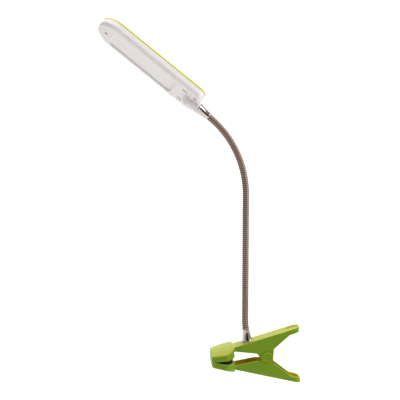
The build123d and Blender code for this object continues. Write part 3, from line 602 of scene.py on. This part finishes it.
bell_profile = [
    (4.06, 0.0), (4.06, 15.6), (4.1, 15.85), (4.25, 15.95), (4.45, 15.85), (4.55, 15.5), (4.6, 14.0),
    (4.75, 11.5), (5.0, 9.0), (5.35, 6.5), (5.75, 4.2), (6.05, 2.6), (6.2, 1.7), (6.5, 1.3), (6.58, 0.9),
    (6.58, 0.4), (6.45, 0.0),
]
head_end, along = neck_place(neck_length)
foot_axis = Vector((-sin(foot_lean), 0, cos(foot_lean)))
across = Vector((0, 1, 0))
arm_normal = Vector((-sin(arm_slope), 0, cos(arm_slope)))
cut_reach = 4.0
for name, node, body, root, axis in (
    ("foot_bell", "lower_ferrule", "base", foot, foot_axis),
    ("head_bell", "upper_ferrule", "head", head_end, -along),
):
    bell_place = Matrix.Translation(root) @ Matrix((across.cross(axis), across, axis)).transposed().to_4x4()
    bell = turned(name, bell_profile, bell_place, chrome)
    if node == "lower_ferrule":
        # The foot's rim is cut to the arm's sloping face
        for point in bell.data.vertices:
            height = (point.co / MM - foot).dot(foot_axis)
            fall = (point.co / MM - foot).dot(arm_normal) / foot_axis.dot(arm_normal)
            point.co -= foot_axis * MM * max(0.0, 1.0 - height / cut_reach) * (fall - height)
    crisp(bell, 50)
    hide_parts(node)
    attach(bell, body)

# ------------------------------------------------------------------ head stud and nut
# Stud and nut inside the head's boss, of the same turned and plated steel as the hinge pin. They pull
# the upper bell on to the head's collar.
carry_over(zinc_steel, "head_stud", "head_nut")

# ------------------------------------------------------------------ head housing
# The lower half of the head, moulded in white ABS from a spark-eroded tool: a fine even grain, drawn a
# little coarse, keeps it satin. Ribs bridge the two slots beside the fairing.
head_twist, collar_length = radians(28.0), 1.9
level_top = Vector((sin(radians(head_rise)), 0, cos(radians(head_rise))))
head_top = level_top * cos(head_twist) + across * sin(head_twist)
head_across = head_top.cross(along)
head_root = head_end + along * collar_length
head_place = Matrix.Translation(head_root) @ Matrix((along, head_across, head_top)).transposed().to_4x4()
head_inverse = head_place.inverted()

eroded_grain, drift_width = 0.5 * MM, 40 * MM
white_abs, tree, shader = new_material("white_satin_moulded_abs")
place = add_node(tree, "ShaderNodeTexCoord").outputs["Object"]
grain = add_node(tree, "ShaderNodeTexNoise", {"Vector": place, "Scale": 1 / eroded_grain, "Detail": 3.0})
drift = add_node(tree, "ShaderNodeTexNoise", {"Vector": place, "Scale": 1 / drift_width, "Detail": 2.0})
tone = add_node(
    tree, "ShaderNodeMix", {0: drift.outputs["Fac"], 6: linear("#EFE7E7"), 7: linear("#F5EEED")},
    data_type="RGBA",
)
bump = add_node(
    tree, "ShaderNodeBump", {"Height": grain.outputs["Fac"], "Strength": 0.03, "Distance": 0.02 * MM}
)
tree.links.new(tone.outputs[2], shader.inputs["Base Color"])
tree.links.new(bump.outputs[0], shader.inputs["Normal"])
shader.inputs["Roughness"].default_value = 0.42
shader.inputs["IOR"].default_value = 1.54

head_edge_radius = 0.3
# The wall ends in a ring of corners this near one height, and turns into the bevel by 40 to 50 degrees
ring_slack, least_turn, most_turn = 0.1, 0.7, 0.87
underside_ring, underside_rise, fade_start, fade_width = 1.8, 2.0, -12.0, 16.0


def bevel_ring(work, height):
    """Corners where the wall of a head piece turns into its flat bevel, at a height on the head."""
    ring = set()
    for edge in work.edges:
        heights = [(head_inverse @ (corner.co / MM)).z for corner in edge.verts]
        level = height - ring_slack < min(heights) and max(heights) < height + ring_slack
        if level and least_turn < edge.calc_face_angle(0.0) < most_turn:
            ring.update(edge.verts)
    return ring


def widen_underside_bevel(work):
    """Lifts the wall's end of the bevel round the underside, so that the bevel turns over slowly. The
    lift fades out towards the side of the charging socket."""
    for corner in bevel_ring(work, underside_ring):
        beside = (head_inverse @ (corner.co / MM)).y - fade_start
        corner.co += head_top * underside_rise * min(1.0, max(0.0, beside / fade_width)) * MM


housing = moulded_copy("head_housing", "head", white_abs, head_edge_radius, widen_underside_bevel)

rib_length, rib_thickness, rib_depth, rib_corner, rib_gap, rib_z = 2.6, 0.4, 0.7, 0.15, 1.3, 1.25
slot_x, slot_y = 22.5, 10.5
grille_tree, given = new_tree(
    "ribs_across_slots",
    [("Length", "NodeSocketFloat"), ("Thickness", "NodeSocketFloat"), ("Depth", "NodeSocketFloat"),
     ("Finish", "NodeSocketMaterial")],
)
outline = add_node(
    grille_tree, "GeometryNodeCurvePrimitiveQuadrilateral",
    {"Width": given.outputs["Thickness"], "Height": given.outputs["Depth"]},
)
eased = add_node(
    grille_tree, "GeometryNodeFilletCurve",
    {"Curve": outline.outputs[0], "Radius": rib_corner * MM, "Count": 3}, mode="POLY",
)
half_length = add_node(
    grille_tree, "ShaderNodeMath", {0: given.outputs["Length"], 1: 0.5}, operation="MULTIPLY"
)
far_half = add_node(
    grille_tree, "ShaderNodeMath", {0: half_length.outputs[0], 1: -1.0}, operation="MULTIPLY"
)
rib_start = add_node(grille_tree, "ShaderNodeCombineXYZ", {"Y": far_half.outputs[0]})
rib_end = add_node(grille_tree, "ShaderNodeCombineXYZ", {"Y": half_length.outputs[0]})
rib_line = add_node(
    grille_tree, "GeometryNodeCurvePrimitiveLine",
    {"Start": rib_start.outputs[0], "End": rib_end.outputs[0]},
)
rib = add_node(
    grille_tree, "GeometryNodeCurveToMesh",
    {"Curve": rib_line.outputs[0], "Profile Curve": eased.outputs[0], "Fill Caps": True},
)
ribs = add_node(
    grille_tree, "GeometryNodeInstanceOnPoints",
    {"Points": given.outputs["Geometry"], "Instance": rib.outputs[0]},
)
end_tree(grille_tree, ribs.outputs[0], given.outputs["Finish"])


def set_out(name, tree, values, places):
    """Runs a tree on places given in the head's own millimetres, and puts the result on the head."""
    seed = bpy.data.meshes.new(name + "_places")
    seed.from_pydata([tuple(Vector(p) * MM) for p in places], [], [])
    piece = grow(name, tree, values, seed)
    piece.data.transform(Matrix.Scale(MM, 4) @ head_place @ Matrix.Scale(1 / MM, 4))
    return piece


grille = set_out(
    "slot_ribs", grille_tree,
    {"Length": rib_length * MM, "Thickness": rib_thickness * MM, "Depth": rib_depth * MM,
     "Finish": white_abs},
    [(slot_x + k * rib_gap, side * slot_y, rib_z) for side in (-1, 1) for k in (-2, -1, 0, 1, 2)],
)
crisp(grille, 50)
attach(grille, "head")

# ------------------------------------------------------------------ head cover
# The upper half of the head, moulded in the clip's lime ABS but thin. Its colours are painted paler
# than the clip's: painted light for the light through the thin wall. Its bevelled top edge shows as the
# bright rim.
lime_shell = moulded_lime("lime_thin_moulded_abs", "#D6DE46", "#C6CE34")
head_length, top_ring, top_rise, kept_nose, fade_length = 146.5, 11.3, 0.7, 12.0, 25.0


def raise_top_bevel(work):
    """Lifts the wall's end of the bevel round the top. The lift fades out towards the nose."""
    for corner in bevel_ring(work, top_ring):
        from_nose = head_length - (head_inverse @ (corner.co / MM)).x - kept_nose
        corner.co += head_top * top_rise * min(1.0, max(0.0, from_nose / fade_length)) * MM


cover = moulded_copy("head_cover", "head", lime_shell, head_edge_radius, raise_top_bevel)

# ------------------------------------------------------------------ housing screws
# Three cold-headed cross-recess screws in zinc-plated steel, sunk in the housing's posts. Their coarse
# thread cuts its way into the plastic. Geometry Nodes set one pattern screw in each post.
screw_head_z, screw_bite_end, screw_head_radius, screw_head_depth = 1.2, 8.8, 1.88, 1.3
# The head's face is domed in three rings of (radius, height)
dome = [(1.3, 0.0), (1.7, 0.14), (screw_head_radius, 0.45)]
shank_radius, thread_radius, thread_pitch, thread_start = 0.72, 0.9, 0.5, 1.5
point_length, point_radius = 0.6, 0.3
# Half of the cross in the head, its taper and its depths
recess_reach, recess_half, recess_waist, recess_taper = 1.05, 0.28, 0.6, 0.55
recess_mouth, recess_floor = 0.06, 0.95
screw_sides = 24  # the cross has as many corners
screw_places = [(8.0, 11.0), (8.0, -11.0), (134.5, 0.0)]
recess = []
for quarter in range(4):
    turn = Matrix.Rotation(radians(-90 * quarter), 3, "Z")
    for x, y in (
        (recess_half, recess_half), (recess_waist, recess_half), (recess_reach, recess_half),
        (recess_reach, 0.0), (recess_reach, -recess_half), (recess_waist, -recess_half),
    ):
        recess.append(turn @ Vector((x, y, 0)))
angles = [radians(45 - 360 / screw_sides * k) for k in range(screw_sides)]
circle = [Vector((cos(angle), sin(angle), 0)) for angle in angles]
screw_profile = dome + [(screw_head_radius, screw_head_depth), (shank_radius, screw_head_depth)]
height, screw_length = thread_start, screw_bite_end - screw_head_z
while height < screw_length - point_length:
    screw_profile += [(shank_radius, height), (thread_radius, height + thread_pitch / 2)]
    height += thread_pitch
screw_profile.append((point_radius, screw_length))
rings = [
    [p * recess_taper + Vector((0, 0, recess_floor)) for p in recess],
    [p + Vector((0, 0, recess_mouth)) for p in recess],
]
rings += [[p * radius + Vector((0, 0, height)) for p in circle] for radius, height in screw_profile]
points = [p * MM for ring in rings for p in ring]
faces = []
for low in range(0, len(points) - screw_sides, screw_sides):
    for k in range(screw_sides):
        after = (k + 1) % screw_sides
        faces.append((low + k, low + after, low + screw_sides + after, low + screw_sides + k))
faces += [tuple(range(screw_sides)), tuple(range(len(points) - screw_sides, len(points)))]
pattern_screw = crisp(mesh_piece("pattern_screw", points, faces, zinc_steel), 40)
screw_tree, given = new_tree(
    "screws_in_posts", [("Screw", "NodeSocketObject"), ("Finish", "NodeSocketMaterial")]
)
pattern = add_node(screw_tree, "GeometryNodeObjectInfo", {"Object": given.outputs["Screw"]})
screws_set = add_node(
    screw_tree, "GeometryNodeInstanceOnPoints",
    {"Points": given.outputs["Geometry"], "Instance": pattern.outputs["Geometry"]},
)
real = add_node(screw_tree, "GeometryNodeRealizeInstances", {"Geometry": screws_set.outputs[0]})
clad = add_node(
    screw_tree, "GeometryNodeSetMaterial",
    {"Geometry": real.outputs[0], "Material": given.outputs["Finish"]},
)
add_node(screw_tree, "NodeGroupOutput", {"Geometry": clad.outputs[0]})
screws = set_out(
    "cross_recess_screws", screw_tree, {"Screw": pattern_screw, "Finish": zinc_steel},
    [(x, y, screw_head_z) for x, y in screw_places],
)
bpy.data.objects.remove(pattern_screw)
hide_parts("housing_screws")
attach(screws, "head")

# ------------------------------------------------------------------ diffuser
# Milky acrylic sheet, laid behind the window. It scatters the LEDs' light, so it looks flat and soft,
# with only the faintest cloud.
cloud_width = 30 * MM
milky, tree, shader = new_material("opal_acrylic_sheet")
place = add_node(tree, "ShaderNodeTexCoord").outputs["Object"]
cloud = add_node(tree, "ShaderNodeTexNoise", {"Vector": place, "Scale": 1 / cloud_width, "Detail": 1.0})
tone = add_node(
    tree, "ShaderNodeMix", {0: cloud.outputs["Fac"], 6: linear("#F1EBE9"), 7: linear("#F6F1EF")},
    data_type="RGBA",
)
tree.links.new(tone.outputs[2], shader.inputs["Base Color"])
shader.inputs["Roughness"].default_value = 0.3
shader.inputs["IOR"].default_value = 1.49
carry_over(milky, "diffuser")

# ------------------------------------------------------------------ reflector tray
# White moulded ABS tray between the LED board and the diffuser, with slanted walls that throw the light
# down. It is plain and bright, with the housing's grain.
carry_over(white_abs, "reflector_tray")

# ------------------------------------------------------------------ power button
# Round white ABS key in the cover, dished for a fingertip. A flange holds it under the cover, and its
# stem works the switch.
button_x = 22.0
button_profile = [
    (0.0, 9.7), (1.5, 9.7), (1.5, 10.75), (5.5, 10.75), (5.5, 11.25), (4.5, 11.25), (4.5, 12.9),
    (4.42, 13.1), (4.2, 13.2), (3.9, 13.18), (3.0, 12.95), (1.6, 12.8), (0.0, 12.75),
]
button_place = head_place @ Matrix.Translation((button_x, 0, 0))
button = crisp(turned("dished_button", button_profile, button_place, white_abs), 40)
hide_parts("power_button")
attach(button, "button")

# ------------------------------------------------------------------ charging socket
# Drawn and plated steel shell, soldered under the control board, with its mouth in the head's side
# wall. It shines like the screws.
carry_over(zinc_steel, "charging_socket")

# ------------------------------------------------------------------ boards, cell and leads
# Glass-fibre boards under green solder mask, phosphor-coated LEDs, a black tactile switch, a foil pouch
# cell and soft PVC leads, all closed inside the head. Each finish is mottled a little between two colours.
boards = ("led_board", "control_board")
for name, parts, low, high, rough, metal, mottle_width in (
    ("green_solder_masked_fibreglass", boards, "#14502A", "#1B6334", 0.35, 0.0, 2.0 * MM),
    ("yellow_phosphor_led_package", ("led_chips",), "#E6D36A", "#F2E48C", 0.3, 0.0, 0.5 * MM),
    ("aluminium_laminate_foil", ("battery",), "#B4B7BB", "#C9CBCF", 0.35, 1.0, 4.0 * MM),
    ("black_moulded_nylon", ("tact_switch",), "#141415", "#202022", 0.45, 0.0, 0.6 * MM),
    ("soft_pvc_insulation", ("lead_wires",), "#1E1E20", "#2C2C2E", 0.5, 0.0, 1.5 * MM),
):
    material, tree, shader = new_material(name)
    place = add_node(tree, "ShaderNodeTexCoord").outputs["Object"]
    mottle = add_node(
        tree, "ShaderNodeTexNoise", {"Vector": place, "Scale": 1 / mottle_width, "Detail": 3.0}
    )
    tone = add_node(
        tree, "ShaderNodeMix", {0: mottle.outputs["Fac"], 6: linear(low), 7: linear(high)}, data_type="RGBA"
    )
    tree.links.new(tone.outputs[2], shader.inputs["Base Color"])
    shader.inputs["Roughness"].default_value = rough
    shader.inputs["Metallic"].default_value = metal
    carry_over(material, *parts)
